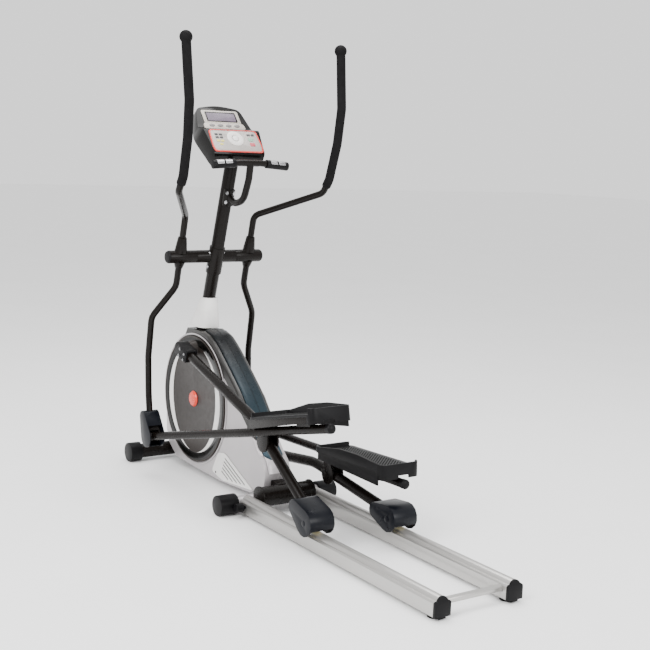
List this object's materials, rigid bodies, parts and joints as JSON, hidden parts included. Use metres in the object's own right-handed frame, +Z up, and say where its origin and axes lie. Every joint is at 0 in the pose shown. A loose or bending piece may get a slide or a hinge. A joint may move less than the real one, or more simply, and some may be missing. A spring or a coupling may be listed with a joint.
{
  "type": "elliptical trainer",
  "caption": "Front-drive elliptical trainer with swinging handlebars, pedals on roller arms and open rear rails.",
  "frame": {"origin": "middle of the footprint, on the floor", "axes": "+X from the console end to the rear end of the rails, -Y the rider's left, +Z up"},
  "size_m": [1.9752, 0.688, 1.687],
  "materials": {
    "black_paint": "satin",
    "black_plastic": "satin, moulded",
    "gloss_black": "gloss",
    "foam": "closed-cell foam",
    "silver_plastic": "silver-grey paint on plastic",
    "spine_plastic": "blue-black pearl",
    "white_plastic": "satin",
    "disc_plastic": "satin",
    "red_plastic": "gloss",
    "aluminium": "anodised extrusion",
    "steel": "machined",
    "cast_iron": "turned",
    "cream_plastic": "urethane roller",
    "belt_rubber": "ribbed",
    "keypad": "printed membrane",
    "button_plastic": "gloss"
  },
  "bodies": {
    "frame": {"main_frame": "black_paint", "front_stabiliser": "black_paint", "post": "black_paint", "pulse_bar": "black_paint", "front_foot_cap_left": "black_plastic", "front_foot_cap_right": "black_plastic", "mid_foot_cap_left": "black_plastic", "mid_foot_cap_right": "black_plastic", "rail_cap_left": "black_plastic", "rail_cap_right": "black_plastic", "pivot_cap_left": "black_plastic", "pivot_cap_right": "black_plastic", "pulse_grip_left": "black_plastic", "pulse_grip_right": "black_plastic", "console_body": "gloss_black", "housing_left": "silver_plastic", "housing_right": "silver_plastic", "housing_spine": "spine_plastic", "post_collar": "white_plastic", "rail_left": "aluminium", "rail_right": "aluminium", "rear_cross_rod": "aluminium", "mid_stabiliser": "aluminium", "pivot_shaft": "steel", "brake_magnet_bracket": "steel", "crank_bearing_left": "steel", "crank_bearing_right": "steel", "drive_belt": "belt_rubber", "console_keypad": "keypad"},
    "crank": {"crank_axle": "steel", "drive_pulley": "cast_iron", "crank_disc_left": "disc_plastic", "crank_disc_right": "disc_plastic", "disc_cap_left": "red_plastic", "disc_cap_right": "red_plastic"},
    "flywheel": {"flywheel": "cast_iron", "flywheel_axle": "steel"},
    "idler": {"belt_idler": "black_plastic"},
    "button": {"console_button": "button_plastic"},
    "knob": {"rail_knob": "black_plastic"},
    "arm_left": {"roller_arm_left": "black_paint", "crank_bracket_left": "black_plastic", "roller_housing_left": "black_plastic"},
    "wheel_left": {"roller_left": "cream_plastic"},
    "swing_left": {"swing_arm_left": "black_paint", "handlebar_left": "black_paint", "foam_grip_left": "foam", "joint_cover_left": "black_plastic"},
    "tread_left": {"pedal_arm_left": "black_paint", "pedal_left": "black_plastic"},
    "arm_right": {"roller_arm_right": "black_paint", "crank_bracket_right": "black_plastic", "roller_housing_right": "black_plastic"},
    "wheel_right": {"roller_right": "cream_plastic"},
    "swing_right": {"swing_arm_right": "black_paint", "handlebar_right": "black_paint", "foam_grip_right": "foam", "joint_cover_right": "black_plastic"},
    "tread_right": {"pedal_arm_right": "black_paint", "pedal_right": "black_plastic"}
  },
  "joints": [
    {"name": "crank_spin", "type": "hinge", "parent": "frame", "child": "crank", "pos_m": [-0.68665, 0, 0.302], "axis": [0, 1, 0], "continuous": true},
    {"name": "flywheel_spin", "type": "hinge", "parent": "frame", "child": "flywheel", "pos_m": [-0.37865, 0, 0.225], "axis": [0, 1, 0], "continuous": true},
    {"name": "idler_spin", "type": "hinge", "parent": "frame", "child": "idler", "pos_m": [-0.44936, 0, 0.16875], "axis": [0, 1, 0], "continuous": true},
    {"name": "stride", "type": "slide", "parent": "frame", "child": "arm_left", "axis": [1, 0, 0], "range_m": [-0.135, 0.221]},
    {"name": "stride_right", "type": "slide", "parent": "frame", "child": "arm_right", "axis": [1, 0, 0], "range_m": [-0.221, 0.135]},
    {"name": "roller_spin_left", "type": "hinge", "parent": "arm_left", "child": "wheel_left", "pos_m": [0.32601, -0.137, 0.0988], "axis": [0, 1, 0], "range_deg": [-287.5, 470]},
    {"name": "roller_spin_right", "type": "hinge", "parent": "arm_right", "child": "wheel_right", "pos_m": [0.4103, 0.137, 0.0988], "axis": [0, 1, 0], "range_deg": [-470, 287.5]},
    {"name": "swing_pivot_left", "type": "hinge", "parent": "frame", "child": "swing_left", "pos_m": [-0.65465, -0.15, 0.872], "axis": [0, 1, 0], "range_deg": [-18.6, 11.6]},
    {"name": "swing_pivot_right", "type": "hinge", "parent": "frame", "child": "swing_right", "pos_m": [-0.65465, 0.15, 0.872], "axis": [0, 1, 0], "range_deg": [-11.6, 18.6]},
    {"name": "pedal_joint_left", "type": "hinge", "parent": "swing_left", "child": "tread_left", "pos_m": [-0.70632, -0.226, 0.16258], "axis": [0, 1, 0], "range_deg": [-11.6, 18.6]},
    {"name": "pedal_joint_right", "type": "hinge", "parent": "swing_right", "child": "tread_right", "pos_m": [-0.70553, 0.226, 0.16252], "axis": [0, 1, 0], "range_deg": [-16.2, 10.1]},
    {"name": "console_button", "type": "slide", "parent": "frame", "child": "button", "axis": [-0.7638, 0, -0.6455], "range_m": [0, 0.0015], "stiffness_N_per_m": 300},
    {"name": "rail_knob", "type": "hinge", "parent": "frame", "child": "knob", "pos_m": [-0.08265, -0.18, 0.038], "axis": [0, 1, 0], "continuous": true}
  ],
  "couplings": [
    {"joint": "flywheel_spin", "follows": "crank_spin", "ratio": 5.3846},
    {"joint": "idler_spin", "follows": "crank_spin", "ratio": -8.2353},
    {"joint": "stride_right", "follows": "stride", "ratio": -1},
    {"joint": "roller_spin_left", "follows": "stride", "rad_per_m": 37.037},
    {"joint": "roller_spin_right", "follows": "stride", "rad_per_m": -37.037},
    {"joint": "swing_pivot_left", "follows": "stride", "rad_per_m": -1.42},
    {"joint": "swing_pivot_right", "follows": "stride", "rad_per_m": 1.42},
    {"joint": "pedal_joint_left", "follows": "stride", "rad_per_m": 1.42},
    {"joint": "pedal_joint_right", "follows": "stride", "rad_per_m": -1.23}
  ]
}
